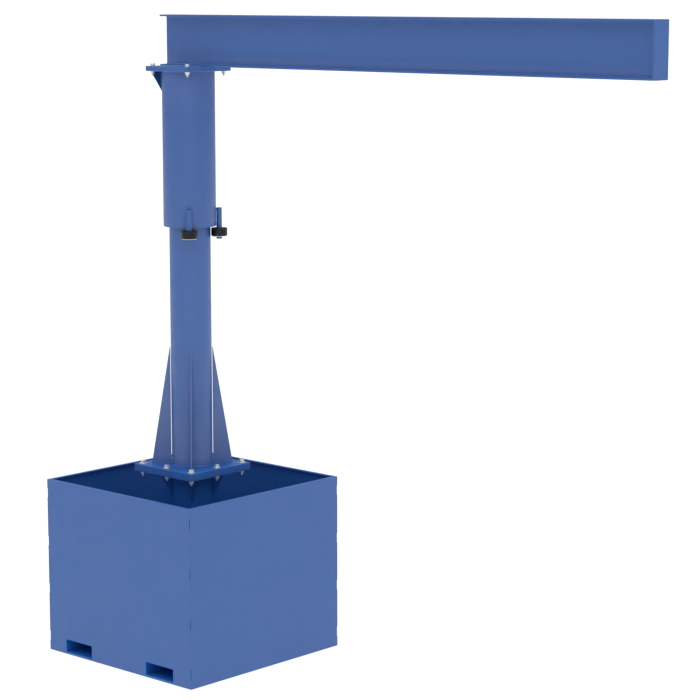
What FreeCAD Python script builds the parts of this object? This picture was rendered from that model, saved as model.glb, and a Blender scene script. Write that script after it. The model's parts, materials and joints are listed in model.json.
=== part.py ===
import FreeCAD, Part
import os
import Sketcher
from FreeCAD import Vector, Rotation

# Free-standing jib crane on an open ballast box. Millimetres, +Z up, the origin on the floor
# under the middle of the box, +X along the jib. Every size sits in the sheet below.
os.makedirs("parts", exist_ok=True)
doc = FreeCAD.newDocument("JibCrane")
sizes = doc.addObject("Spreadsheet::Sheet", "sizes")

driving = [
    ("boxWidth", 1066.8), ("boxHeight", 911.2), ("wallThick", 6.35), ("floorThick", 6.35),
    ("seatGap", 0.2), ("rimWidth", 12.7), ("rimThick", 6.35),
    ("pocketWidth", 208.0), ("pocketHeight", 76.2), ("pocketWall", 4.76), ("pocketRound", 7.9),
    ("pocketInset", 228.6), ("stitchLength", 50.8), ("stitchDepth", 3.0),
    ("stitchFirst", 76.2), ("stitchPitch", 254.0), ("stitchCount", 4),
    ("pipeOuter", 105.6), ("pipeWall", 8.2), ("flangeWidth", 426.0), ("flangeThick", 19.05),
    ("flangeTop", 990.6), ("footBoltInset", 33.0), ("footBoltHole", 8.75), ("edgeEase", 1.0),
    ("gussetThick", 6.35), ("underGussetWidth", 66.7), ("underGussetHeight", 147.6),
    ("underGussetToe", 1.5),
    ("mastGussetInset", 4.2), ("mastGussetHeight", 609.6), ("mastGussetSlot", 2.6),
    ("mastGussetToe", 3.0), ("mastTop", 2950.0), ("capThick", 12.7),
    ("pivotRadius", 31.75), ("pivotPlay", 0.05), ("pivotEndPlay", 0.3), ("hubOuter", 63.5),
    ("hubRise", 7.3), ("hubRoof", 10.0),
    ("sleeveClear", 19.6), ("sleeveWall", 9.3), ("sleeveBottom", 2229.0), ("sleeveTop", 3016.0),
    ("headPlateWidth", 304.8), ("headPlateThick", 12.7), ("headBoltInset", 25.4),
    ("headBoltHole", 7.15), ("headGussetReach", 56.3), ("headGussetHeight", 102.4),
    ("headGussetToe", 1.0), ("headGussetBearing", 39.0),
    ("beamLength", 3044.8), ("beamTail", 152.4), ("beamDepth", 256.8), ("beamFlange", 101.9),
    ("flangeGauge", 8.4), ("webGauge", 6.1), ("rootRound", 7.6), ("endPlateThick", 9.5),
    ("endPlateRound", 6.0),
    ("pinRadius", 14.3), ("pinStand", 0.9), ("pinBearing", 45.0), ("pinBottom", 2162.0),
    ("pinTop", 2322.0), ("pinEase", 1.5), ("rollerGap", 2.6), ("rollerHeight", 40.0),
    ("rollerBottom", 2178.0), ("rollerPlay", 0.05), ("rollerRound", 3.0), ("rollerDish", 1.5),
    ("washerRadius", 38.0), ("washerThick", 2.4),
    ("clipThick", 1.6), ("clipDepth", 1.2), ("clipRim", 3.2), ("clipPlay", 0.3),
]
# sizes that follow from the ones above
driving += [
    ("footBoltReach", "=flangeWidth / 2 - footBoltInset"),
    ("mastGussetWidth", "=flangeWidth / 2 - mastGussetInset - pipeOuter - mastGussetSlot"),
    ("headBoltReach", "=headPlateWidth / 2 - headBoltInset"),
    ("sleeveOuter", "=pipeOuter + sleeveClear + sleeveWall"),
    ("pinReach", "=sleeveOuter + pinStand + pinRadius"),
    ("rollerRadius", "=pinReach - pipeOuter - rollerGap"),
]
for row, (word, value) in enumerate(driving, 1):
    sizes.set("A%d" % row, word)
    sizes.set("B%d" % row, str(value))
    sizes.setAlias("B%d" % row, word)
doc.recompute()

boxHalf = "sizes.boxWidth / 2"
pocketMiddle = "(sizes.boxWidth / 2 - sizes.pocketInset)"
flangeUnder = "sizes.flangeTop - 2 * sizes.flangeThick"
beamUnder = "sizes.sleeveTop + 2 * sizes.headPlateThick"
beamEnd = "sizes.beamLength - sizes.beamTail - sizes.endPlateThick"
bodies = []


def reckon(text):
    # value of a sheet expression
    found = sizes.evalExpression(text)
    return float(getattr(found, "Value", found))


def startPiece(name, x="0", y="0", z="0", turn=0.0):
    # one named body, set down at x, y, z and turned about the upright axis
    body = doc.addObject("PartDesign::Body", name)
    body.Label = name
    body.Placement.Rotation = Rotation(Vector(0, 0, 1), turn)
    for axis, text in (("x", x), ("y", y), ("z", z)):
        body.setExpression("Placement.Base." + axis, text)
    bodies.append(body)
    return body


def newDrawing(body, name, role, lift="0"):
    # sketch flat on one of the body's own planes, lifted along its normal
    drawing = body.newObject("Sketcher::SketchObject", name)
    plane = [each for each in body.Origin.OriginFeatures if each.Role == role][0]
    drawing.AttachmentSupport = [(plane, "")]
    drawing.MapMode = "FlatFace"
    drawing.setExpression("AttachmentOffset.Base.z", lift)
    return drawing


def tie(drawing, kind, place, text, word):
    # one distance or radius held by a sheet expression
    drawing.addConstraint(Sketcher.Constraint(kind, *place, reckon(text)))
    index = drawing.ConstraintCount - 1
    drawing.renameConstraint(index, word)
    drawing.setExpression("Constraints." + word, text)


def addOutline(drawing, corners):
    # closed loop of straight lines, each corner held by its two distances from the origin
    first = drawing.GeometryCount
    count = len(corners)
    places = [Vector(reckon(x), reckon(y), 0) for x, y in corners]
    for i in range(count):
        drawing.addGeometry(Part.LineSegment(places[i], places[(i + 1) % count]), False)
    for i in range(count):
        ends = (first + i, 2, first + (i + 1) % count, 1)
        drawing.addConstraint(Sketcher.Constraint("Coincident", *ends))
    for i, (x, y) in enumerate(corners):
        tie(drawing, "DistanceX", (-1, 1, first + i, 1), x, "x%d" % (first + i))
        tie(drawing, "DistanceY", (-1, 1, first + i, 1), y, "y%d" % (first + i))


def addRectangle(drawing, left, low, right, high):
    addOutline(drawing, [(left, low), (right, low), (right, high), (left, high)])


def addCircle(drawing, radius, x="0", y="0"):
    # circle held by its centre and radius
    index = drawing.GeometryCount
    centre = Vector(reckon(x), reckon(y), 0)
    drawing.addGeometry(Part.Circle(centre, Vector(0, 0, 1), reckon(radius)), False)
    tie(drawing, "Radius", (index,), radius, "r%d" % index)
    tie(drawing, "DistanceX", (-1, 1, index, 3), x, "x%d" % index)
    tie(drawing, "DistanceY", (-1, 1, index, 3), y, "y%d" % index)


def addPad(body, drawing, name, length, middle=False):
    # plate or bar raised from a sketch, about its plane where middle is set
    made = body.newObject("PartDesign::Pad", name)
    made.Profile = drawing
    made.setExpression("Length", length)
    made.Midplane = middle
    doc.recompute()
    return made


def addPocket(body, drawing, name, length=None):
    # cut below a sketch, right through where no length is given
    made = body.newObject("PartDesign::Pocket", name)
    made.Profile = drawing
    if length is None:
        made.Type = "ThroughAll"
        made.Midplane = True
    else:
        made.setExpression("Length", length)
    doc.recompute()
    return made


def spin(body, drawing, name, kind="PartDesign::Revolution"):
    # full turn of a sketch about its upright axis, added or cut
    made = body.newObject(kind, name)
    made.Profile = drawing
    made.ReferenceAxis = (drawing, ["V_Axis"])
    made.Angle = 360.0
    doc.recompute()
    return made


def ease(body, feature, edges, amount, kind="PartDesign::Chamfer"):
    # chamfer or round on named edges
    made = body.newObject(kind, "Ease" if kind.endswith("Chamfer") else "Round")
    made.Base = (feature, edges)
    made.setExpression("Size" if kind.endswith("Chamfer") else "Radius", amount)
    doc.recompute()
    return made


def straightEdges(shape, direction, test=lambda place: True):
    # names of the straight edges that run along a direction and pass the test at mid-length
    names = []
    for number, edge in enumerate(shape.Edges, 1):
        if edge.Curve.TypeId != "Part::GeomLine":
            continue
        if abs(edge.tangentAt(edge.FirstParameter).dot(direction)) < 0.999:
            continue
        if test(edge.CenterOfMass):
            names.append("Edge%d" % number)
    return names


def roundEdges(shape, test):
    # names of the circular edges that pass the test (radius, height)
    names = []
    for number, edge in enumerate(shape.Edges, 1):
        if edge.Curve.TypeId == "Part::GeomCircle" and test(edge.Curve.Radius, edge.Curve.Center.z):
            names.append("Edge%d" % number)
    return names


xWay, yWay, zWay = Vector(1, 0, 0), Vector(0, 1, 0), Vector(0, 0, 1)


def boxFloor():
    body = startPiece("box_floor")
    half = boxHalf + " - sizes.wallThick - sizes.seatGap"
    drawing = newDrawing(body, "FloorSketch", "XY_Plane")
    addRectangle(drawing, "-(" + half + ")", "-(" + half + ")", half, half)
    addPad(body, drawing, "FloorPad", "sizes.floorThick")


def pocketWall(name, side):
    # end wall with the two fork pocket cut-outs and the stitch notches down both its corners
    far = boxHalf if side > 0 else "-(" + boxHalf + ") + sizes.wallThick"
    body = startPiece(name, "0", far)
    drawing = newDrawing(body, "WallSketch", "XZ_Plane")
    addRectangle(drawing, "-(" + boxHalf + ")", "0", boxHalf, "sizes.boxHeight")
    addPad(body, drawing, "WallPad", "sizes.wallThick")
    cut = newDrawing(body, "PocketSketch", "XZ_Plane")
    low = "sizes.floorThick"
    high = "sizes.floorThick + sizes.pocketHeight + sizes.seatGap"
    half = "sizes.pocketWidth / 2 + sizes.seatGap"
    for sign in ("-", ""):
        middle = sign + pocketMiddle
        addRectangle(cut, middle + " - (" + half + ")", low, middle + " + " + half, high)
    hole = addPocket(body, cut, "ForkCut")
    tall = reckon("sizes.boxHeight") / 2
    corners = straightEdges(hole.Shape, yWay, lambda place: 1.0 < place.z < tall)
    ease(body, hole, corners, "sizes.pocketRound", "PartDesign::Fillet")
    outer = "-sizes.wallThick" if side < 0 else "0"
    inner = outer + (" + sizes.stitchDepth" if side < 0 else " - sizes.stitchDepth")
    top = "sizes.stitchFirst + sizes.stitchLength / 2"
    notch = newDrawing(body, "StitchSketch", "XY_Plane", top)
    for sign in (-1, 1):
        edge = ("-(%s)" if sign < 0 else "%s") % boxHalf
        back = edge + (" + sizes.stitchDepth" if sign < 0 else " - sizes.stitchDepth")
        addOutline(notch, [(edge, outer), (back, outer), (back, inner), (edge, inner)])
    first = addPocket(body, notch, "StitchCut", "sizes.stitchLength")
    row = body.newObject("PartDesign::LinearPattern", "StitchRow")
    row.Originals = [first]
    row.Direction = (notch, ["N_Axis"])
    row.setExpression("Length", "sizes.stitchPitch * (sizes.stitchCount - 1)")
    row.setExpression("Occurrences", "sizes.stitchCount")
    body.Tip = row


def sideWall(name, side):
    # plain wall let in between the two end walls
    x = boxHalf + " - sizes.wallThick" if side > 0 else "-(" + boxHalf + ")"
    body = startPiece(name, x)
    half = boxHalf + " - sizes.wallThick"
    drawing = newDrawing(body, "WallSketch", "YZ_Plane")
    addRectangle(drawing, "-(" + half + ")", "0", half, "sizes.boxHeight")
    addPad(body, drawing, "WallPad", "sizes.wallThick")


def boxRim():
    # flat bar round the inside of the box's mouth, flush with the wall tops
    body = startPiece("box_rim", "0", "0", "sizes.boxHeight - sizes.rimThick")
    outer = boxHalf + " - sizes.wallThick"
    inner = outer + " - sizes.rimWidth"
    drawing = newDrawing(body, "RimSketch", "XY_Plane")
    for half in (outer, inner):
        addRectangle(drawing, "-(" + half + ")", "-(" + half + ")", half, half)
    addPad(body, drawing, "RimPad", "sizes.rimThick")


def forkTube(name, sign):
    # rectangular tube through the box from face to face
    body = startPiece(name, sign + pocketMiddle, boxHalf, "sizes.floorThick")
    drawing = newDrawing(body, "TubeSketch", "XZ_Plane")
    half = "sizes.pocketWidth / 2"
    wall = "sizes.pocketWall"
    addRectangle(drawing, "-" + half, "0", half, "sizes.pocketHeight")
    addRectangle(drawing, "-" + half + " + " + wall, wall, half + " - " + wall,
                 "sizes.pocketHeight - " + wall)
    tube = addPad(body, drawing, "TubePad", "sizes.boxWidth")
    edge = reckon("sizes.pocketWidth / 2 - sizes.pocketWall / 2")
    outside = straightEdges(tube.Shape, yWay, lambda place: abs(place.x) > edge)
    rounded = ease(body, tube, outside, "sizes.pocketRound", "PartDesign::Fillet")
    inside = straightEdges(rounded.Shape, yWay, lambda place: abs(place.x) < edge
                           and reckon("sizes.pocketWall") * 0.9 < place.z
                           < reckon("sizes.pocketHeight - sizes.pocketWall * 0.9")
                           and abs(place.x) > edge - reckon("sizes.pocketWall"))
    ease(body, rounded, inside, "sizes.pocketRound - sizes.pocketWall * 0.75", "PartDesign::Fillet")


def pipe(name, radius, wall, low, high):
    # plain round tube
    body = startPiece(name, "0", "0", low)
    drawing = newDrawing(body, "PipeSketch", "XY_Plane")
    addCircle(drawing, radius)
    addCircle(drawing, radius + " - " + wall)
    addPad(body, drawing, "PipePad", "(" + high + ") - (" + low + ")")


def boltPlate(name, low, width, thick, holes, holeRadius):
    # square plate with eased edges and its bolt holes in four equal quarters
    body = startPiece(name, "0", "0", low)
    half = width + " / 2"
    drawing = newDrawing(body, "PlateSketch", "XY_Plane")
    addRectangle(drawing, "-" + half, "-" + half, half, half)
    plate = addPad(body, drawing, "PlatePad", thick)
    rims = straightEdges(plate.Shape, xWay) + straightEdges(plate.Shape, yWay)
    rims += straightEdges(plate.Shape, zWay)
    ease(body, plate, rims, "sizes.edgeEase")
    cut = newDrawing(body, "HoleSketch", "XY_Plane")
    for x, y in holes:
        addCircle(cut, holeRadius, x, y)
    drilled = addPocket(body, cut, "BoltHole")
    ring = body.newObject("PartDesign::PolarPattern", "BoltRing")
    ring.Originals = [drilled]
    ring.Axis = (cut, ["N_Axis"])
    ring.Angle = 360.0
    ring.Occurrences = 4
    body.Tip = ring


def gusset(name, corners, low, turn):
    # flat plate on edge, its outline given by reach from the mast axis and height
    body = startPiece(name, "0", "0", low, turn)
    drawing = newDrawing(body, "GussetSketch", "XZ_Plane")
    addOutline(drawing, corners)
    addPad(body, drawing, "GussetPad", "sizes.gussetThick", True)


def underGusset(name, turn):
    # tapering bracket under the pedestal flange
    inner = "sizes.pipeOuter + sizes.seatGap"
    toe = "sizes.underGussetToe"
    tip = "sizes.pipeOuter + sizes.underGussetWidth"
    height = "sizes.underGussetHeight"
    corners = [(inner, "0"), (inner + " + " + toe, "0"), (tip, height + " - " + toe),
               (tip, height), (inner, height)]
    gusset(name, corners, flangeUnder + " - " + height, turn)


def mastGusset(name, turn):
    # tall tapering stiffener standing a narrow slot off the mast
    inner = "sizes.pipeOuter + sizes.mastGussetSlot"
    outer = inner + " + sizes.mastGussetWidth"
    height = "sizes.mastGussetHeight"
    corners = [(inner, "0"), (outer, "0"), (outer, "sizes.mastGussetToe"),
               (inner + " + sizes.mastGussetToe", height), (inner, height)]
    gusset(name, corners, "sizes.flangeTop", turn)


def headGusset(name, hand):
    # bracket under the rear of the head plate, turned off its diagonal to stand clear of the nut
    inner = "sizes.sleeveOuter + sizes.seatGap"
    toe = "sizes.headGussetToe"
    tip = "sizes.sleeveOuter + sizes.headGussetReach"
    height = "sizes.headGussetHeight"
    corners = [(inner, "0"), (inner + " + " + toe, "0"), (tip, height + " - " + toe),
               (tip, height), (inner, height)]
    turn = 180.0 + hand * reckon("sizes.headGussetBearing")
    gusset(name, corners, "sizes.sleeveTop - " + height, turn)


def mastCap():
    body = startPiece("mast_cap", "0", "0", "sizes.mastTop")
    drawing = newDrawing(body, "CapSketch", "XY_Plane")
    addCircle(drawing, "sizes.pipeOuter")
    addPad(body, drawing, "CapPad", "sizes.capThick")


def pivotPin():
    # upright stub that the head turns on
    body = startPiece("pivot_pin", "0", "0", "sizes.mastTop + sizes.capThick")
    top = "sizes.sleeveTop - sizes.hubRoof - sizes.pivotEndPlay"
    drawing = newDrawing(body, "PinSketch", "XY_Plane")
    addCircle(drawing, "sizes.pivotRadius")
    post = addPad(body, drawing, "PinPad", top + " - sizes.mastTop - sizes.capThick")
    ease(body, post, roundEdges(post.Shape, lambda r, z: z > 1.0), "sizes.pinEase")


def bearingHub():
    # blind socket hung under the head plate, bored to run on the pivot
    low = "sizes.mastTop + sizes.capThick + sizes.hubRise"
    body = startPiece("bearing_hub", "0", "0", low)
    bore = "sizes.pivotRadius + sizes.pivotPlay"
    height = "sizes.sleeveTop - (" + low + ")"
    roof = height + " - sizes.hubRoof"
    drawing = newDrawing(body, "HubSketch", "XZ_Plane")
    addOutline(drawing, [(bore, "0"), ("sizes.hubOuter", "0"), ("sizes.hubOuter", height),
                         ("0", height), ("0", roof), (bore, roof)])
    spin(body, drawing, "HubTurn")


def jibBeam():
    # rolled I-section with its root rounds
    body = startPiece("jib_beam", "-sizes.beamTail", "0", beamUnder)
    flange = "sizes.beamFlange / 2"
    web = "sizes.webGauge / 2"
    low = "sizes.flangeGauge"
    high = "sizes.beamDepth - sizes.flangeGauge"
    deep = "sizes.beamDepth"
    drawing = newDrawing(body, "SectionSketch", "YZ_Plane")
    right = [(flange, "0"), (flange, low), (web, low), (web, high), (flange, high), (flange, deep)]
    left = [("-" + y, z) for y, z in reversed(right)]
    addOutline(drawing, right + left)
    bar = addPad(body, drawing, "SectionPad", "sizes.beamLength - sizes.endPlateThick")
    edge = reckon(web) + 0.01
    roots = straightEdges(bar.Shape, xWay, lambda place: abs(place.y) < edge)
    ease(body, bar, roots, "sizes.rootRound", "PartDesign::Fillet")


def endPlate():
    body = startPiece("beam_end_plate", beamEnd, "0", beamUnder)
    half = "sizes.beamFlange / 2"
    drawing = newDrawing(body, "PlateSketch", "YZ_Plane")
    addRectangle(drawing, "-" + half, "0", half, "sizes.beamDepth")
    plate = addPad(body, drawing, "PlatePad", "sizes.endPlateThick")
    corners = straightEdges(plate.Shape, xWay)
    ease(body, plate, corners, "sizes.endPlateRound", "PartDesign::Fillet")


def pinPlace(sign):
    # where a roller pin stands, forward of the mast on one side
    x = "sizes.pinReach * cos(sizes.pinBearing * 1 deg)"
    y = sign + "sizes.pinReach * sin(sizes.pinBearing * 1 deg)"
    return x, y


washerTop = "sizes.rollerBottom - sizes.clipPlay"
clipTop = washerTop + " - sizes.washerThick - sizes.clipPlay"


def rollerPin(name, sign):
    # plain rod with eased ends and a groove for the retaining clip
    x, y = pinPlace(sign)
    body = startPiece(name, x, y, "sizes.pinBottom")
    drawing = newDrawing(body, "RodSketch", "XY_Plane")
    addCircle(drawing, "sizes.pinRadius")
    rod = addPad(body, drawing, "RodPad", "sizes.pinTop - sizes.pinBottom")
    ease(body, rod, roundEdges(rod.Shape, lambda r, z: True), "sizes.pinEase")
    groove = newDrawing(body, "GrooveSketch", "XZ_Plane")
    high = clipTop + " - sizes.pinBottom + sizes.seatGap"
    low = clipTop + " - sizes.pinBottom - sizes.clipThick - sizes.seatGap"
    addRectangle(groove, "sizes.pinRadius - sizes.clipDepth", low, "sizes.pinRadius + 1", high)
    spin(body, groove, "ClipGroove", "PartDesign::Groove")


def roller(name, sign):
    # wheel with rounded rims and a shallow dish in each end, bored to run on its pin
    x, y = pinPlace(sign)
    body = startPiece(name, x, y, "sizes.rollerBottom")
    bore = "sizes.pinRadius + sizes.rollerPlay"
    rim = "sizes.rollerRadius * 0.8"
    dish = "sizes.rollerDish"
    high = "sizes.rollerHeight"
    boss = "sizes.pinRadius * 1.4"
    drawing = newDrawing(body, "RollerSketch", "XZ_Plane")
    addOutline(drawing, [
        (bore, "0"), (boss, "0"), (boss, dish), (rim, dish), (rim, "0"),
        ("sizes.rollerRadius", "0"), ("sizes.rollerRadius", high), (rim, high),
        (rim, high + " - " + dish), (boss, high + " - " + dish), (boss, high), (bore, high)])
    wheel = spin(body, drawing, "RollerTurn")
    edge = reckon("sizes.rollerRadius") - 0.01
    rims = roundEdges(wheel.Shape, lambda r, z: r > edge)
    ease(body, wheel, rims, "sizes.rollerRound", "PartDesign::Fillet")


def rollerWasher(name, sign):
    # thrust washer that carries the roller
    x, y = pinPlace(sign)
    body = startPiece(name, x, y, washerTop + " - sizes.washerThick")
    drawing = newDrawing(body, "WasherSketch", "XY_Plane")
    addCircle(drawing, "sizes.washerRadius")
    addCircle(drawing, "sizes.pinRadius + sizes.rollerPlay")
    addPad(body, drawing, "WasherPad", "sizes.washerThick")


def rollerClip(name, sign):
    # open spring ring seated in the pin's groove
    x, y = pinPlace(sign)
    body = startPiece(name, x, y, clipTop + " - sizes.clipThick")
    drawing = newDrawing(body, "ClipSketch", "XY_Plane")
    addCircle(drawing, "sizes.pinRadius - sizes.clipDepth + sizes.clipRim")
    addCircle(drawing, "sizes.pinRadius - sizes.clipDepth + sizes.pivotPlay")
    addPad(body, drawing, "ClipPad", "sizes.clipThick")
    mouth = newDrawing(body, "MouthSketch", "XY_Plane")
    reach = "sizes.pinRadius + sizes.clipRim"
    addRectangle(mouth, "0", "-sizes.clipRim", reach, "sizes.clipRim")
    addPocket(body, mouth, "MouthCut")


boxFloor()
pocketWall("wall_pocket_near", -1)
pocketWall("wall_pocket_far", 1)
sideWall("wall_side_jib", 1)
sideWall("wall_side_rear", -1)
boxRim()
forkTube("fork_tube_jib", "")
forkTube("fork_tube_rear", "-")
pipe("pedestal_pipe", "sizes.pipeOuter", "sizes.pipeWall", "sizes.floorThick", flangeUnder)
footHoles = [("sizes.footBoltReach", "sizes.footBoltReach"), ("sizes.footBoltReach", "0")]
boltPlate("pedestal_flange", flangeUnder, "sizes.flangeWidth", "sizes.flangeThick",
          footHoles, "sizes.footBoltHole")
boltPlate("mast_base_plate", "sizes.flangeTop - sizes.flangeThick", "sizes.flangeWidth",
          "sizes.flangeThick", footHoles, "sizes.footBoltHole")
for number in range(4):
    turn = 45.0 + 90.0 * number
    underGusset("pedestal_gusset_%d" % (number + 1), turn)
    mastGusset("mast_gusset_%d" % (number + 1), turn)
pipe("mast_pipe", "sizes.pipeOuter", "sizes.pipeWall", "sizes.flangeTop", "sizes.mastTop")
mastCap()
pivotPin()
bearingHub()
pipe("head_sleeve", "sizes.sleeveOuter", "sizes.sleeveWall", "sizes.sleeveBottom",
     "sizes.sleeveTop")
headHoles = [("sizes.headBoltReach", "sizes.headBoltReach")]
boltPlate("sleeve_top_plate", "sizes.sleeveTop", "sizes.headPlateWidth",
          "sizes.headPlateThick", headHoles, "sizes.headBoltHole")
boltPlate("beam_mount_plate", "sizes.sleeveTop + sizes.headPlateThick",
          "sizes.headPlateWidth", "sizes.headPlateThick", headHoles, "sizes.headBoltHole")
headGusset("head_gusset_near", 1)
headGusset("head_gusset_far", -1)
jibBeam()
endPlate()
for word, sign in (("near", "-"), ("far", "")):
    rollerPin("roller_pin_" + word, sign)
    roller("roller_" + word, sign)
    rollerWasher("roller_washer_" + word, sign)
    rollerClip("roller_clip_" + word, sign)
doc.recompute()

for each in doc.Objects:
    if "Invalid" in each.State or "Error" in each.State:
        raise RuntimeError(each.Name + " did not build")
for body in bodies:
    shape = body.Shape
    if shape.isNull() or not shape.isValid() or len(shape.Solids) != 1:
        raise RuntimeError(body.Label + " is not one sound solid")
    shape.exportStep("parts/" + body.Label + ".step")
print(len(bodies), "pieces written")
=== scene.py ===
import json
import math

import bpy
import numpy as np
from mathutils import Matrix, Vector


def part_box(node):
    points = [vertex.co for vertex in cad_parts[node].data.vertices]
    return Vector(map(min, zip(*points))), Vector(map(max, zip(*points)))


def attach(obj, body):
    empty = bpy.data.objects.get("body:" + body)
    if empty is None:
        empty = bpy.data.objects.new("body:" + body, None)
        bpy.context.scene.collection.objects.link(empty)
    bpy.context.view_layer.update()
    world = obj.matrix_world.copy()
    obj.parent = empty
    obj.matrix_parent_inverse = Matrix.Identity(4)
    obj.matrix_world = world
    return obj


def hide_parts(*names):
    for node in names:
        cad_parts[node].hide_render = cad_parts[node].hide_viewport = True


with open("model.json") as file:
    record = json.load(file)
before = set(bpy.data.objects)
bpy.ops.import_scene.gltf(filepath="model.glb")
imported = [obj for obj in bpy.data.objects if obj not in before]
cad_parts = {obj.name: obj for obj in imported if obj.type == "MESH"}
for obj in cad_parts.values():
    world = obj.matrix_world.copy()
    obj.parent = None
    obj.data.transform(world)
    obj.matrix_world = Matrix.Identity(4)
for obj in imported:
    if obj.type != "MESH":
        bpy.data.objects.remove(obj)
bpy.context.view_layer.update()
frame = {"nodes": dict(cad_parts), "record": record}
nodes = frame["nodes"]
print("crane frame loaded:", len(nodes), "parts")


# Shapes as arrays: every maker returns (points, faces).

def gather(shapes):
    # several shapes as one: points stacked, face numbers shifted by the points before them
    starts = np.cumsum([0] + [len(points) for points, groups in shapes[:-1]])
    stacked = np.concatenate([points for points, groups in shapes])
    faces = [face + start for (points, groups), start in zip(shapes, starts) for face in groups]
    return stacked, faces


def skin(rows, wrap=False, capLow=False, capHigh=False):
    # quads between neighbouring rows of a grid (row, column); columns close round, and rows
    # close on themselves where wrap is set; a cap is a fan to the middle of an end row
    count, around = rows.shape[:2]
    number = np.arange(count * around).reshape(count, around)
    low = number if wrap else number[:-1]
    high = np.roll(number, -1, axis=0) if wrap else number[1:]
    quads = np.stack([low, np.roll(low, -1, axis=1), np.roll(high, -1, axis=1), high], axis=-1)
    points, faces = rows.reshape(-1, 3), [quads.reshape(-1, 4)]
    for cap, ring, way in ((capLow, number[0], -1), (capHigh, number[-1], 1)):
        if cap:
            first, second = (ring, np.roll(ring, -1))[::way]
            hub = np.full(around, len(points))
            faces.append(np.stack([first, second, hub], axis=-1))
            points = np.concatenate([points, points[ring].mean(axis=0)[None]])
    return points, faces


def rounded(corners, radius, steps=4, most=0.45):
    # closed outline with each corner cut by a quadratic curve that starts one radius before it,
    # or at most this share of the shorter side: first (1-t)^2 + corner 2t(1-t) + last t^2
    corners = np.asarray(corners, float)
    before = np.roll(corners, 1, axis=0) - corners
    after = np.roll(corners, -1, axis=0) - corners
    span = [np.linalg.norm(way, axis=1, keepdims=True) for way in (before, after)]
    reach = np.minimum(radius, most * np.minimum(*span))
    first, last = corners + before / span[0] * reach, corners + after / span[1] * reach
    t = np.linspace(0, 1, steps + 1)[None, :, None]
    curve = (first[:, None] * (1 - t) ** 2 + corners[:, None] * 2 * t * (1 - t)
             + last[:, None] * t ** 2)
    return curve.reshape(-1, 2)


def circleAngles(around):
    # even steps all round, the first angle not repeated
    return np.linspace(0, 2 * np.pi, around, endpoint=False)


def lathe(outline, centre=(0, 0, 0), around=96, closed=True):
    # (reach, height) outline carried round the upright line through centre:
    # x = reach cos a, y = reach sin a
    a = circleAngles(around)
    outline = np.asarray(outline, float)
    reach, height = outline[:, :1], outline[:, 1:]
    rows = np.stack([reach * np.cos(a), reach * np.sin(a), height + 0 * a], axis=-1)
    rows = rows + np.asarray(centre, float)
    return skin(rows, wrap=closed, capLow=not closed, capHigh=not closed)


def hexBlock(flats, low, high, chamfer, centre, turn, around=72):
    # hexagon prism: reach = half the flats / cos(angle from the nearest flat's middle);
    # outside the chamfer circle each face drops 30 degrees towards the corners
    a = circleAngles(around)
    corner = flats / 2 / np.cos((a + np.pi / 6) % (np.pi / 3) - np.pi / 6)
    drop = np.maximum(0, corner - chamfer) * math.tan(math.pi / 6)
    circle = np.minimum(corner, chamfer)
    reach = np.stack([circle, corner, corner, circle])
    height = np.stack([low + 0 * a, low + drop, high - drop, high + 0 * a])
    rows = np.stack([reach * np.cos(a + turn), reach * np.sin(a + turn), height], axis=-1)
    return skin(rows + np.asarray(centre, float), capLow=True, capHigh=True)


threadForm = {"blunt": 0.45,             # radius at the very end, in shank radii
              "taper": 3,                # length of the blunt point, in pitches
              "depth": 0.55,             # depth of the thread, in pitches
              "rows": 8}                 # rows of points to a pitch


def threadEnd(radius, low, high, pitch, centre, around=48):
    # bolt end: reach = radius less a triangle wave that climbs one pitch a turn; over the taper
    # both shrink to a blunt point, tip rising from 0 to 1
    form = threadForm
    a = circleAngles(around)[None]
    z = np.linspace(low, high, int((high - low) / pitch * form["rows"]) + 2)[:, None]
    wave = form["depth"] * pitch * np.abs((z / pitch + a / (2 * np.pi)) % 1 * 2 - 1)
    tip = np.clip((z - low) / (form["taper"] * pitch), 0, 1)
    reach = radius * (form["blunt"] + (1 - form["blunt"]) * tip) - wave * tip
    rows = np.stack([reach * np.cos(a), reach * np.sin(a), z + 0 * a], axis=-1)
    return skin(rows + np.asarray(centre, float), capLow=True, capHigh=True)


beadForm = {"ripple": 0.0055,            # length of one ripple
            "swell": 0.07,               # how much a ripple thickens the bead
            "power": 1.35,               # p below: 1 gives a flat face, 2 a round one
            "across": 8,                 # points over the face
            "root": 0.12,                # how deep the corner line is sunk, in legs
            "endRun": 1.2,               # an open end fades over this many legs
            "endLeast": 0.02}            # square of the size that is left at the very end


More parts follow.
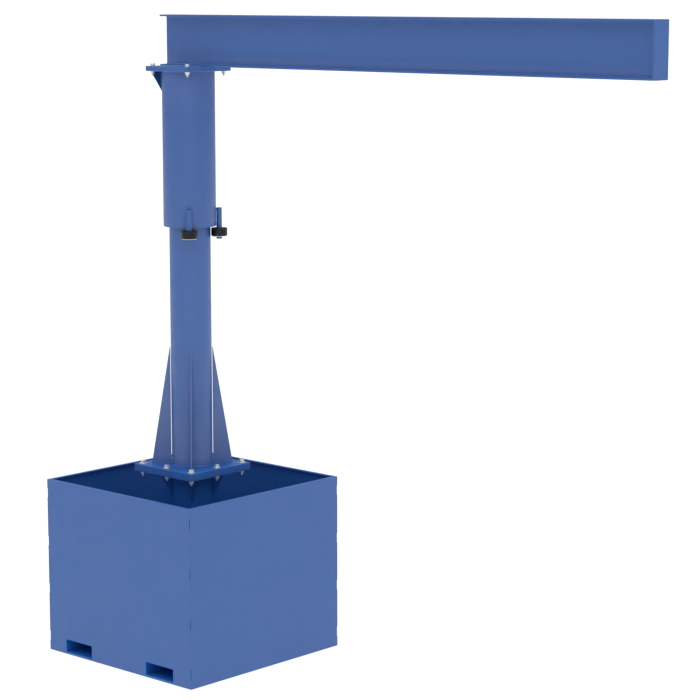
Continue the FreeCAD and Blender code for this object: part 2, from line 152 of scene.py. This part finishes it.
def bead(path, sideA, sideB, leg, closed=False):
    # fillet of weld along a path: quarter section from leg*A to leg*B, point = path + leg *
    # (A cos u + B sin u) / (cos^p u + sin^p u)^(1/p), its size rising and falling each ripple
    # and fading as a quarter circle towards an open end
    form = beadForm
    path = np.asarray(path, float)
    sideA = np.broadcast_to(np.asarray(sideA, float), path.shape)
    sideB = np.broadcast_to(np.asarray(sideB, float), path.shape)
    ahead = np.diff(path, axis=0)
    run = np.concatenate([[0], np.cumsum(np.linalg.norm(ahead, axis=1))])
    size = leg * (1 + form["swell"] * np.abs(np.sin(np.pi * run / form["ripple"])))
    if not closed:
        edge = np.clip(np.minimum(run, run[-1] - run) / (form["endRun"] * leg), 0, 1)
        size = size * np.sqrt(np.clip(1 - (1 - edge) ** 2, form["endLeast"], 1))
    u, power = np.linspace(0, np.pi / 2, form["across"]), form["power"]
    even = 1 / (np.cos(u) ** power + np.sin(u) ** power) ** (1 / power)
    face = (sideA[:, None] * (np.cos(u) * even)[None, :, None]
            + sideB[:, None] * (np.sin(u) * even)[None, :, None])
    root = -form["root"] * (sideA + sideB)[:, None]
    section = np.concatenate([face, root], axis=1)
    if (np.cross(sideA, sideB)[:-1] * ahead).sum() < 0:
        section = section[:, ::-1]      # keeps the faces outward on the other hand
    rows = path[:, None] + size[:, None, None] * section
    return skin(rows, wrap=closed, capLow=not closed, capHigh=not closed)


def line(start, end, step=0.0009):
    # evenly spaced points: start + (end - start) t, t from 0 to 1
    start, end = np.asarray(start, float), np.asarray(end, float)
    count = max(4, int(np.linalg.norm(end - start) / step))
    return start + (end - start) * np.linspace(0, 1, count)[:, None]


def turnAbout(points, degrees):
    # points turned about the mast axis
    a = math.radians(degrees)
    turn = np.array([[math.cos(a), -math.sin(a), 0], [math.sin(a), math.cos(a), 0], [0, 0, 1]])
    return np.asarray(points, float) @ turn.T


def ringPath(radius, height, step=0.0012):
    # circle about the mast axis: x = radius cos a, y = radius sin a, with its outward vectors
    a = circleAngles(int(2 * math.pi * radius / step))
    out = np.stack([np.cos(a), np.sin(a), 0 * a], axis=-1)
    return out * radius + [0, 0, height], out


def makePiece(name, shape, material, body, stands=(), crease=35):
    # shape made a mesh with its faces outward, dressed and set to ride on a body
    points, faces = shape
    mesh = bpy.data.meshes.new(name)
    mesh.from_pydata(points.tolist(), [], [each for some in faces for each in some.tolist()])
    mesh.validate()
    mesh.shade_smooth()
    mesh.set_sharp_from_angle(angle=math.radians(crease))
    mesh.materials.append(material)
    piece = bpy.data.objects.new(name, mesh)
    bpy.context.scene.collection.objects.link(piece)
    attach(piece, body)
    if stands:
        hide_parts(*stands)


# Finishes: each a shader of its own on the piece's own coordinates.

def feed(tree, socket, value):
    # what another node gives is linked, a fixed value is written in
    if isinstance(value, bpy.types.NodeSocket):
        tree.links.new(value, socket)
    else:
        socket.default_value = value


def startFinish(name):
    # empty material with its shader and the piece's own coordinates
    material = bpy.data.materials.new(name)
    material.use_nodes = True
    tree = material.node_tree
    shader = tree.nodes["Principled BSDF"]
    place = tree.nodes.new("ShaderNodeTexCoord").outputs["Object"]
    return material, tree, shader, place


def noise(tree, place, scale, detail, rough=0.5):
    # cloudy pattern from 0 to 1, finer as the scale rises
    node = tree.nodes.new("ShaderNodeTexNoise")
    for name, value in (("Vector", place), ("Scale", scale), ("Detail", detail),
                        ("Roughness", rough)):
        feed(tree, node.inputs[name], value)
    return node.outputs["Fac"]


def spread(tree, value, low, high, fromLow=0.3, fromHigh=0.7):
    # a value between fromLow and fromHigh made one between low and high
    node = tree.nodes.new("ShaderNodeMapRange")
    for name, number in (("Value", value), ("From Min", fromLow), ("From Max", fromHigh),
                         ("To Min", low), ("To Max", high)):
        feed(tree, node.inputs[name], number)
    return node.outputs["Result"]


def calculate(tree, operation, first, second):
    # one sum on two numbers
    node = tree.nodes.new("ShaderNodeMath")
    node.operation = operation
    feed(tree, node.inputs[0], first)
    feed(tree, node.inputs[1], second)
    return node.outputs[0]


def blendColours(tree, value, first, second):
    # first where the value is 0, second where it is 1
    node = tree.nodes.new("ShaderNodeMix")
    node.data_type = "RGBA"
    feed(tree, node.inputs[0], value)
    for socket, colour in ((node.inputs[6], first), (node.inputs[7], second)):
        feed(tree, socket, (*colour, 1) if isinstance(colour, tuple) else colour)
    return node.outputs[2]


def addBump(tree, shader, heights):
    # bumps laid over each other: (height, strength, distance)
    last = None
    for height, strength, distance in heights:
        node = tree.nodes.new("ShaderNodeBump")
        node.inputs["Strength"].default_value = strength
        node.inputs["Distance"].default_value = distance
        tree.links.new(height, node.inputs["Height"])
        if last:
            tree.links.new(last, node.inputs["Normal"])
        last = node.outputs["Normal"]
    tree.links.new(last, shader.inputs["Normal"])


paintLook = {
    "tint": 1.0,                         # times the two tones below
    "tone": (0.0062, 0.086, 0.338),      # the mean blue, linear
    "shade": (0.0054, 0.082, 0.322),     # where the coat is a little thicker
    "rough": (0.44, 0.52),
    "ior": 1.74,
    "drift": (1.7, 4.0, 0.55),           # each pattern's scale, detail and roughness
    "cloud": (14.0, 3.0),
    "peel": (320.0, 2.0), "peelBump": (0.10, 0.0004),   # orange peel, about 3 mm across
    "roll": (26.0, 2.0), "rollBump": (0.06, 0.002),     # slow waves; strength and distance
    "paintedLight": None,
}


def bluePaint(name, change):
    # sprayed semi-gloss enamel: broad drift of tone, uneven gloss, fine orange peel; the painted
    # light, where a coat has it, gives the height where a painted lighter haze is full, the height
    # where it ends, and its tone, with none below its start
    look = {**paintLook, **change}
    material, tree, shader, place = startFinish(name)
    drift = noise(tree, place, *look["drift"])
    shade, tone = (tuple(c * look["tint"] for c in look[key]) for key in ("shade", "tone"))
    colour = blendColours(tree, spread(tree, drift, 0, 1), shade, tone)
    # painted light: a lighter haze of the given tone, blended over the coat by height
    paintedLight = look["paintedLight"]
    if paintedLight:
        split = tree.nodes.new("ShaderNodeSeparateXYZ")
        tree.links.new(place, split.inputs[0])
        height = split.outputs["Z"]
        amount = spread(tree, height, 1, 0, paintedLight["full"], paintedLight["end"])
        if "start" in paintedLight:
            above = calculate(tree, "GREATER_THAN", height, paintedLight["start"])
            amount = calculate(tree, "MULTIPLY", amount, above)
        colour = blendColours(tree, amount, colour, paintedLight["tone"])
    tree.links.new(colour, shader.inputs["Base Color"])
    cloud = noise(tree, place, *look["cloud"])
    tree.links.new(spread(tree, cloud, *look["rough"]), shader.inputs["Roughness"])
    shader.inputs["IOR"].default_value = look["ior"]
    peel, roll = noise(tree, place, *look["peel"]), noise(tree, place, *look["roll"])
    addBump(tree, shader, [(peel, *look["peelBump"]), (roll, *look["rollBump"])])
    return material


steelLook = {"tone": (0.86, 0.84, 0.81), "shade": (0.70, 0.69, 0.67), "rough": (0.34, 0.48),
             "mottle": (160.0, 3.0), "fine": (700.0, 2.0), "fineBump": (0.08, 0.0002)}


def brightSteel(name, change):
    # bright bare or plated steel with a faint mottle
    look = {**steelLook, **change}
    material, tree, shader, place = startFinish(name)
    mottle = spread(tree, noise(tree, place, *look["mottle"]), 0, 1)
    colour = blendColours(tree, mottle, look["shade"], look["tone"])
    tree.links.new(colour, shader.inputs["Base Color"])
    fine = noise(tree, place, *look["fine"])
    tree.links.new(spread(tree, fine, *look["rough"]), shader.inputs["Roughness"])
    shader.inputs["Metallic"].default_value = 1.0
    addBump(tree, shader, [(fine, *look["fineBump"])])
    return material


wheelLook = {"tone": (0.012, 0.012, 0.013), "shade": (0.006, 0.006, 0.007), "rough": (0.30, 0.42),
             "ior": 1.32, "mottle": (60.0, 4.0, 0.6), "turning": (30.0, 2.0),
             "turningBump": (0.10, 0.0003), "squeeze": (1.0, 1.0, 40.0)}


def blackRoller(name, look):
    # dark oiled wheel steel: near-black with fine turning marks, a noise squeezed upright
    material, tree, shader, place = startFinish(name)
    mottle = spread(tree, noise(tree, place, *look["mottle"]), 0, 1)
    colour = blendColours(tree, mottle, look["shade"], look["tone"])
    tree.links.new(colour, shader.inputs["Base Color"])
    squeeze = tree.nodes.new("ShaderNodeMapping")
    squeeze.inputs["Scale"].default_value = look["squeeze"]
    tree.links.new(place, squeeze.inputs["Vector"])
    turning = noise(tree, squeeze.outputs["Vector"], *look["turning"])
    tree.links.new(spread(tree, turning, *look["rough"]), shader.inputs["Roughness"])
    shader.inputs["IOR"].default_value = look["ior"]
    addBump(tree, shader, [(turning, *look["turningBump"])])
    return material


# what sets each coat apart from the general look
paintChanges = {
    "boxPaint": {},
    # painted light: the mast coat turns lighter and greyer towards its foot
    "mastPaint": {"tint": 0.96, "ior": 1.82,
                  "paintedLight": {"full": 1.04, "end": 1.27, "tone": (0.064, 0.138, 0.362)}},
    "platePaint": {"tint": 1.06, "ior": 1.55},
    # painted shade: darker corner beads, for the shade in the corner recesses
    "seamShadePaint": {"tint": 0.60, "ior": 1.3},
    "jibPaint": {"tint": 0.96},
    "endPaint": {"tint": 1.03},
    # painted light: the sleeve coat turns lighter and greyer towards the head plate, where its
    # shade falls
    "sleevePaint": {"tint": 0.96, "tone": (0.013, 0.087, 0.332), "shade": (0.011, 0.083, 0.316),
                    "paintedLight": {"full": 3.00, "end": 2.78, "tone": (0.036, 0.100, 0.332)}},
    "beamPaint": {"tint": 0.96,          # painted light: a lighter haze above the lower flange, where its shade falls, its edge left clean
                  "paintedLight": {"start": 3.0584, "full": 3.060, "end": 3.098,
                           "tone": (0.040, 0.118, 0.375)}},
    "insideLitPaint": {"tint": 1.06, "ior": 1.36,       # a lighter copy, dulled, in the box; painted light: brighter blue towards the top
                    "paintedLight": {"full": 0.880, "end": 0.795, "tone": (0.011, 0.130, 0.468)}},
    "gussetPaint": {"tint": 0.93, "ior": 2.05},
    "tubeLitPaint": {"tint": 1.35, "ior": 1.5},         # painted light: a lighter, less glossy copy inside the shaded fork tubes
    "bracketShadePaint": {"tint": 0.46, "ior": 1.12},     # painted shade: much darker, for the shade under the head plate
}
paint = {name: bluePaint(name, change) for name, change in paintChanges.items()}
zinc = brightSteel("zincPlate", {})
turnedSteel = brightSteel("turnedSteel", {"tone": (0.62, 0.62, 0.62), "shade": (0.50, 0.50, 0.50),
                                          "rough": (0.20, 0.32)})
rollerBlack = blackRoller("rollerBlack", wheelLook)
finishOf = {"box_paint": paint["boxPaint"], "mast_paint": paint["mastPaint"],
            "jib_paint": paint["jibPaint"], "bare_steel": turnedSteel, "roller_black": rollerBlack}
for subpart in frame["record"]["subparts"]:
    mesh = nodes[subpart["node"]].data
    mesh.materials.clear()
    mesh.materials.append(finishOf[subpart["material_slot"]])
ownPaint = {
    "bracketShadePaint": ["head_gusset_near", "head_gusset_far"],
    "endPaint": ["beam_end_plate"],
    "beamPaint": ["jib_beam"],
    "gussetPaint": ["mast_gusset_%d" % number for number in range(1, 5)],
    "tubeLitPaint": ["fork_tube_jib", "fork_tube_rear"],
    "platePaint": ["mast_base_plate", "pedestal_flange", "box_rim"],
    "insideLitPaint": ["box_floor"] + ["pedestal_gusset_%d" % number for number in range(1, 5)],
}
for coat, wearers in ownPaint.items():
    for node in wearers:
        nodes[node].data.materials[0] = paint[coat]
print("paint and steel finishes on the frame")


# Round parts, finer than their frame.

pipeEdge = {"ease": 0.0012, "steps": 3, "around": 160}
pipes = {
    "mast_pipe": {"wall": 0.0082, "paint": "mastPaint", "slot": "mast_paint", "body": "base"},
    "pedestal_pipe": {"wall": 0.0082, "paint": "insideLitPaint", "slot": "box_paint", "body": "base"},
    "head_sleeve": {"wall": 0.0093, "paint": "sleevePaint", "slot": "jib_paint", "body": "jib"},
}


def tubeOf(node, wall):
    # upright tube as high as its node: rectangle wall section, corners eased, carried round
    low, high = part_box(node)
    outer = max(high.x, high.y)
    section = [(outer, low.z), (outer, high.z), (outer - wall, high.z), (outer - wall, low.z)]
    return lathe(rounded(section, pipeEdge["ease"], pipeEdge["steps"]), around=pipeEdge["around"])


for node, facts in pipes.items():
    makePiece(node + "_skin", tubeOf(node, facts["wall"]), paint[facts["paint"]], facts["body"],
              (node,))

rodSize = {"ease": 0.0016, "groove": 0.0012, "around": 64}
rollerSize = {"play": 0.00005, "boss": 1.4, "rim": 0.8,    # boss in rod radii, rim in roller radii
              "dish": 0.0015, "ease": 0.0007, "round": 0.003, "around": 128}


def rodOutline(radius, low, high, clipLow, clipHigh):
    # (reach, height) outline from the foot up: eased ends and a groove where the clip sits
    eased, deep = radius - rodSize["ease"], radius - rodSize["groove"]
    return [(eased, low), (radius, low + rodSize["ease"]), (radius, clipLow), (deep, clipLow),
            (deep, clipHigh), (radius, clipHigh), (radius, high - rodSize["ease"]), (eased, high)]


def rollerOutline(rod, outer, low, high):
    # (reach, height) outline out along the underside and back along the top: a boss and a rim
    # stand proud of a dished face, and the outer edges are rounded more than the rest
    bore, boss = rod + rollerSize["play"], rod * rollerSize["boss"]
    rim, dish = outer * rollerSize["rim"], rollerSize["dish"]
    corners = [(bore, low), (boss, low), (boss, low + dish), (rim, low + dish), (rim, low),
               (outer, low), (outer, high), (rim, high), (rim, high - dish),
               (boss, high - dish), (boss, high), (bore, high)]
    few, many = 2, 6                     # steps round a corner
    first, last = 5, 6                   # the outer edges among the corners
    eased = rounded(corners, rollerSize["ease"], few).reshape(len(corners), -1, 2)
    full = rounded(corners, rollerSize["round"], many).reshape(len(corners), -1, 2)
    return np.concatenate([part.reshape(-1, 2) for part in
                           (eased[:first], full[first:last + 1], eased[last + 1:])])


for side in ("near", "far"):
    low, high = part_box("roller_pin_" + side)
    clipLow, clipHigh = (corner.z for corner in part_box("roller_clip_" + side))
    middle = ((low.x + high.x) / 2, (low.y + high.y) / 2, 0)
    rod = (high.x - low.x) / 2
    shape = lathe(rodOutline(rod, low.z, high.z, clipLow, clipHigh), middle, rodSize["around"],
                  closed=False)
    makePiece("roller_pin_%s_skin" % side, shape, paint["jibPaint"], "jib",
              ("roller_pin_" + side,))
    low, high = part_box("roller_" + side)
    outline = rollerOutline(rod, (high.x - low.x) / 2, low.z, high.z)
    makePiece("roller_%s_skin" % side, lathe(outline, middle, rollerSize["around"]), rollerBlack,
              "roller_" + side, ("roller_" + side,))
print("pipes, pins and rollers")


# Bolts, each with its head, two washers, nut and threaded end.

footBolt = {"reach": 0.180, "shank": 0.00794, "flats": 0.0238, "head": 0.0101, "washer": 0.0208,
            "washerThick": 0.0028, "spring": 0.0131, "springThick": 0.0040, "nut": 0.0139,
            "end": 0.0135, "pitch": 0.00231,
            "firstTurn": 0.0, "turnEach": 0.7, "nutsOutward": False}   # turns in radians
headBolt = {"reach": 0.127, "shank": 0.00635, "flats": 0.01905, "head": 0.0081, "washer": 0.0135,
            "washerThick": 0.0025, "spring": 0.0109, "springThick": 0.0032, "nut": 0.0110,
            "end": 0.0118, "pitch": 0.00195,
            "firstTurn": 0.5, "turnEach": 0.9, "nutsOutward": True}    # clear of the brackets
boltForm = {"chamfer": 0.985,            # radius of the chamfer circle, in half flats
            "washerEase": 0.0005, "springEase": 0.0004, "easeSteps": 2, "around": 64,
            "slit": 0.09,                # half the spring washer's slit, as an angle
            "slitTurn": 2.1,             # from the head's turn
            "engaged": 0.001}            # how far the threaded end starts inside the nut
boltCrease = 28


def ringWall(inner, outer, low, high, ease):
    # rectangle section of a ring, its corners eased
    wall = [(outer, low), (outer, high), (inner, high), (inner, low)]
    return rounded(wall, ease, boltForm["easeSteps"])


def washer(size, low, high, centre):
    # flat ring: its section carried all round
    wall = ringWall(size["shank"], size["washer"], low, high, boltForm["washerEase"])
    return lathe(wall, centre, boltForm["around"])


def springWasher(size, low, high, centre, turn, steps=72):
    # square wire carried round from one side of a narrow slit to the other, its ends closed
    a = np.linspace(boltForm["slit"], 2 * np.pi - boltForm["slit"], steps) + turn
    wire = ringWall(size["shank"], size["spring"], low, high, boltForm["springEase"])[::-1]
    rows = np.stack([np.cos(a)[:, None] * wire[:, 0], np.sin(a)[:, None] * wire[:, 0],
                     0 * a[:, None] + wire[:, 1]], axis=-1)
    return skin(rows + np.asarray(centre, float), capLow=True, capHigh=True)


def bolt(size, x, y, top, under, turn, nutTurn):
    # upright bolt through a stack from under to top, its parts set face to face
    centre = (x, y, 0)
    flats, chamfer = size["flats"], size["flats"] / 2 * boltForm["chamfer"]
    lifted = top + size["washerThick"]
    seat = lifted + size["springThick"]
    nutTop = under - size["washerThick"]
    nutLow = nutTop - size["nut"]
    return gather([
        washer(size, top, lifted, centre),
        springWasher(size, lifted, seat, centre, turn + boltForm["slitTurn"]),
        hexBlock(flats, seat, seat + size["head"], chamfer, centre, turn),
        washer(size, nutTop, under, centre),
        hexBlock(flats, nutLow, nutTop, chamfer, centre, nutTurn),
        threadEnd(size["shank"], nutLow - size["end"], nutLow + boltForm["engaged"], size["pitch"],
                  centre)])


def setBolts(name, size, body, upper, lower, rows):
    # a square pattern of bolts down through two plates, each head turned further than the last
    top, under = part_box(upper)[1].z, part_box(lower)[0].z
    spots = [(x * size["reach"], y * size["reach"]) for x in rows for y in rows if x or y]
    for number, (x, y) in enumerate(spots, 1):
        turn = size["firstTurn"] + size["turnEach"] * number
        nutTurn = math.atan2(y, x) if size["nutsOutward"] else number
        shape = bolt(size, x, y, top, under, turn, nutTurn)
        makePiece("%s_%d" % (name, number), shape, zinc, body, crease=boltCrease)


setBolts("foot_bolt", footBolt, "base", "mast_base_plate", "pedestal_flange", (-1, 0, 1))
setBolts("head_bolt", headBolt, "jib", "beam_mount_plate", "sleeve_top_plate", (-1, 1))
print("foot and head bolts")


# Weld beads, painted over.

beadSize = {"mastFoot": 0.004, "gusset": 0.004, "sleeve": 0.004, "beam": 0.005, "endPlate": 0.004,
            "stitch": 0.0012, "pin": 0.0035}
weldCrease = 50
up, down = (0, 0, 1), (0, 0, -1)
diagonals = (45, 135, 225, 315)
gussetHalf = 0.003175                    # half a gusset's thickness
# where their beads run: along the plate, from the axis, and along the wall, from the plate
mastRun = {"plate": (0.111, 0.207)}
pedestalRun = {"plate": (0.107, 0.171), "wall": (-0.144, -0.006)}
bracketRun = {"plate": (0.136, 0.162), "wall": (-0.099, -0.006)}
bracketAngles = (219, 141)               # near and far, in degrees from the jib


def gussetBeads(run, angle, level, towards):
    # straight beads on both faces of a standing gusset: one along the plate at this level, and
    # one up the round wall where the run has a wall
    radial, sideways = turnAbout([1, 0, 0], angle), turnAbout([0, 1, 0], angle)
    inner, outer = run["plate"]
    beads = []
    for sign in (-1, 1):
        face = sideways * gussetHalf * sign + [0, 0, level]
        start, end = radial * inner + face, radial * outer + face
        beads.append(bead(line(start, end), sideways * sign, towards, beadSize["gusset"]))
        if "wall" in run:
            foot, head = (start + [0, 0, rise] for rise in run["wall"])
            beads.append(bead(line(foot, head), sideways * sign, radial, beadSize["gusset"]))
    return beads


def ringBead(node, level, towards, leg):
    # bead all round a pipe where it meets a plate
    path, out = ringPath(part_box(node)[1].x, level)
    return bead(path, out, towards, leg, closed=True)


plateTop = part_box("mast_base_plate")[1].z
beads = [ringBead("mast_pipe", plateTop, up, beadSize["mastFoot"])]
for angle in diagonals:
    beads += gussetBeads(mastRun, angle, plateTop, up)
makePiece("mast_foot_welds", gather(beads), paint["platePaint"], "base",
          crease=weldCrease)

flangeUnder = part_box("pedestal_flange")[0].z
beads = [ringBead("pedestal_pipe", flangeUnder, down, beadSize["mastFoot"])]
for angle in diagonals:
    beads += gussetBeads(pedestalRun, angle, flangeUnder, down)
makePiece("pedestal_welds", gather(beads), paint["insideLitPaint"], "base",
          crease=weldCrease)

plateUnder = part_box("sleeve_top_plate")[0].z
beads = [ringBead("head_sleeve", plateUnder, down, beadSize["sleeve"])]
for angle in bracketAngles:
    beads += gussetBeads(bracketRun, angle, plateUnder, down)

beamWeld = {"short": 0.004}              # stops this far from the beam's and the plate's ends
plate, (low, high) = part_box("beam_mount_plate")[1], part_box("jib_beam")
start, end = low.x + beamWeld["short"], plate.x - beamWeld["short"]
for sign in (-1, 1):
    y = high.y * sign
    edge = line((start, y, plate.z), (end, y, plate.z))
    beads.append(bead(edge, (0, sign, 0), up, beadSize["beam"]))

endWeld = {"flange": 0.0084, "web": 0.00305,       # the flange's thickness and half the web's
           "short": 0.018,                         # upright beads stop this far from the edges
           "across": (0.012, 0.049)}               # span of the level ones, from the web's middle
face, leg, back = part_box("beam_end_plate")[0].x, beadSize["endPlate"], (-1, 0, 0)
for sign in (-1, 1):
    y = endWeld["web"] * sign
    upright = line((face, y, low.z + endWeld["short"]), (face, y, high.z - endWeld["short"]))
    beads.append(bead(upright, (0, sign, 0), back, leg))
    inner, outer = (away * sign for away in endWeld["across"])
    for level, way in ((low.z + endWeld["flange"], up), (high.z - endWeld["flange"], down)):
        beads.append(bead(line((face, inner, level), (face, outer, level)), way, back, leg))

pinWeld = {"off": 0.0008, "aside": 0.0050,         # from the sleeve's wall and the rod's axis
           "slant": 0.15, "lean": 0.55,            # how far the bead's two sides lean
           "runs": ((2.232, 2.242), (2.308, 2.318))}    # the lower and upper one's heights
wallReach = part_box("head_sleeve")[1].x + pinWeld["off"]
for sign in (-1, 1):                     # short upright beads on both sides of each roller's rod
    axis, aside = turnAbout([1, 0, 0], 45 * sign), turnAbout([0, 1, 0], 45 * sign)
    for hand in (-1, 1):
        root = axis * wallReach + aside * hand * pinWeld["aside"]
        slant = -axis * pinWeld["slant"] + aside * hand
        lean = axis + aside * hand * pinWeld["lean"]
        for foot, head in pinWeld["runs"]:
            path = line(root + [0, 0, foot], root + [0, 0, head])
            beads.append(bead(path, slant, lean, beadSize["pin"]))
makePiece("head_and_jib_welds", gather(beads), paint["jibPaint"], "jib",
          crease=weldCrease)

stitch = {"length": 0.0508, "short": 0.001, "first": 0.0762, "pitch": 0.254, "count": 4,
          "inset": 0.0030}
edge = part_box("wall_pocket_near")[1].x - stitch["inset"]
half = stitch["length"] / 2 - stitch["short"]
beads = []                               # short upright beads down the corners of the box
for x, y in ((-1, -1), (-1, 1), (1, -1), (1, 1)):
    for number in range(stitch["count"]):
        middle = stitch["first"] + stitch["pitch"] * number
        path = line((x * edge, y * edge, middle - half), (x * edge, y * edge, middle + half))
        beads.append(bead(path, (x, 0, 0), (0, y, 0), beadSize["stitch"]))
makePiece("corner_stitch_welds", gather(beads), paint["seamShadePaint"], "base",
          crease=weldCrease)
print("weld beads")


# Floor, light and camera.

floorLook = {"half": 90.0, "below": 0.0005, "lines": 9, "tone": (0.20, 0.20, 0.20), "shade": 0.985,
             "cloud": (0.6, 3.0), "rough": 0.85, "glow": 0.84}


def makeFloor(look):
    # flat square just under the crane: a grid of x and y at one height
    count = look["lines"]
    t = np.linspace(-look["half"], look["half"], count)
    x, y = np.meshgrid(t, t)
    rows = np.stack([x, y, 0 * x - look["below"]], axis=-1)
    number = np.arange(count * count).reshape(count, count)
    quads = np.stack([number[:-1, :-1], number[:-1, 1:], number[1:, 1:], number[1:, :-1]], axis=-1)
    mesh = bpy.data.meshes.new("studioFloor")
    mesh.from_pydata(rows.reshape(-1, 3).tolist(), [], quads.reshape(-1, 4).tolist())
    floor = bpy.data.objects.new("studioFloor", mesh)
    bpy.context.scene.collection.objects.link(floor)
    material, tree, shader, place = startFinish("floorFinish")
    cloud = spread(tree, noise(tree, place, *look["cloud"]), 0, 1)
    darker = tuple(c * look["shade"] for c in look["tone"])
    tree.links.new(blendColours(tree, cloud, darker, look["tone"]), shader.inputs["Base Color"])
    shader.inputs["Roughness"].default_value = look["rough"]
    shader.inputs["Emission Color"].default_value = (1, 1, 1, 1)
    shader.inputs["Emission Strength"].default_value = look["glow"]
    mesh.materials.append(material)


skyLook = {"scale": 1.9,                     # the levels below times this
           "nearSide": ((0.0, 0.54), (0.04, 0.28), (0.12, 0.16), (0.40, 0.28), (0.75, 0.95),
                        (1.0, 1.0)),
           "farSide": ((0.0, 0.54), (0.04, 0.12), (0.12, 0.05), (0.40, 0.14), (0.75, 0.95),
                       (1.0, 1.0)),
           "lampSide": (0.674, -0.738, 0.0),  # level, from the crane towards the lamp
           "turnover": 0.35,                 # how far from the middle the two sides blend
           "backdrop": 1.05}                 # plain white where the sky itself is seen
lampLook = {"power": 45.0, "size": 5.0, "place": (7.9, -8.1, 4.0), "aim": (0.8, 0, 1.5)}


def aimFrom(holder, back):
    # turned to look along the line opposite to back, upright
    holder.rotation_mode = "QUATERNION"
    holder.rotation_quaternion = (-back).to_track_quat("-Z", "Y")


def makeSky(look):
    # white surround, full at the horizon, dimmer low in the sky and bright again overhead, as two
    # ramps give it over the sine of the sight line's height, one for the lamp's side and one for
    # the far side, which is darker low down
    world = bpy.data.worlds.new("studioWorld")
    world.use_nodes = True
    tree = world.node_tree
    sight = tree.nodes.new("ShaderNodeTexCoord").outputs["Generated"]
    split = tree.nodes.new("ShaderNodeSeparateXYZ")
    tree.links.new(sight, split.inputs[0])
    facing = tree.nodes.new("ShaderNodeVectorMath")
    facing.operation = "DOT_PRODUCT"
    facing.inputs[1].default_value = look["lampSide"]
    tree.links.new(sight, facing.inputs[0])
    levels = []
    for side in ("farSide", "nearSide"):
        ramp = tree.nodes.new("ShaderNodeValToRGB")
        marks = ramp.color_ramp.elements
        while len(marks) < len(look[side]):
            marks.new(0.5)
        for mark, (height, level) in zip(marks, look[side]):
            mark.position, mark.color = height, (level, level, level, 1)
        tree.links.new(split.outputs["Z"], ramp.inputs[0])
        levels.append(ramp.outputs["Color"])
    nearness = spread(tree, facing.outputs["Value"], 0, 1, -look["turnover"], look["turnover"])
    strength = calculate(tree, "MULTIPLY", blendColours(tree, nearness, *levels), look["scale"])
    lighting, backdrop = tree.nodes["Background"], tree.nodes.new("ShaderNodeBackground")
    for light, power in ((lighting, strength), (backdrop, look["backdrop"])):
        light.inputs["Color"].default_value = (1, 1, 1, 1)
        feed(tree, light.inputs["Strength"], power)
    seen = tree.nodes.new("ShaderNodeMixShader")
    sightRay = tree.nodes.new("ShaderNodeLightPath").outputs["Is Camera Ray"]
    tree.links.new(sightRay, seen.inputs["Fac"])
    tree.links.new(lighting.outputs[0], seen.inputs[1])
    tree.links.new(backdrop.outputs[0], seen.inputs[2])
    tree.links.new(seen.outputs[0], tree.nodes["World Output"].inputs["Surface"])
    bpy.context.scene.world = world


def makeLamp(look):
    # one large soft lamp by the camera
    lamp = bpy.data.lights.new("keyLamp", "AREA")
    lamp.energy, lamp.size = look["power"], look["size"]
    holder = bpy.data.objects.new("keyLamp", lamp)
    holder.location = look["place"]
    aimFrom(holder, Vector(look["place"]) - Vector(look["aim"]))
    bpy.context.scene.collection.objects.link(holder)


cameraView = {"place": (8.5280, -8.1202, 3.4142),
              "turn": 42.4111, "rise": 8.8537,       # degrees round the crane and above level
              "sensor": 36.0, "lens": 118.41, "farthest": 400.0}


def makeCamera(view):
    # long lens at the fitted place, upright and looking slightly down, with no shift
    lens = bpy.data.cameras.new("photoCamera")
    lens.sensor_width, lens.lens, lens.clip_end = view["sensor"], view["lens"], view["farthest"]
    camera = bpy.data.objects.new("photoCamera", lens)
    camera.location = view["place"]
    a, e = math.radians(view["turn"]), math.radians(view["rise"])
    aimFrom(camera, Vector((math.sin(a) * math.cos(e), -math.cos(a) * math.cos(e), math.sin(e))))
    bpy.context.scene.collection.objects.link(camera)
    bpy.context.scene.camera = camera


makeFloor(floorLook)
makeSky(skyLook)
makeLamp(lampLook)
makeCamera(cameraView)
bpy.context.scene.view_settings.view_transform = "Standard"
bpy.context.scene.view_settings.look = "None"
print("floor, light and camera")
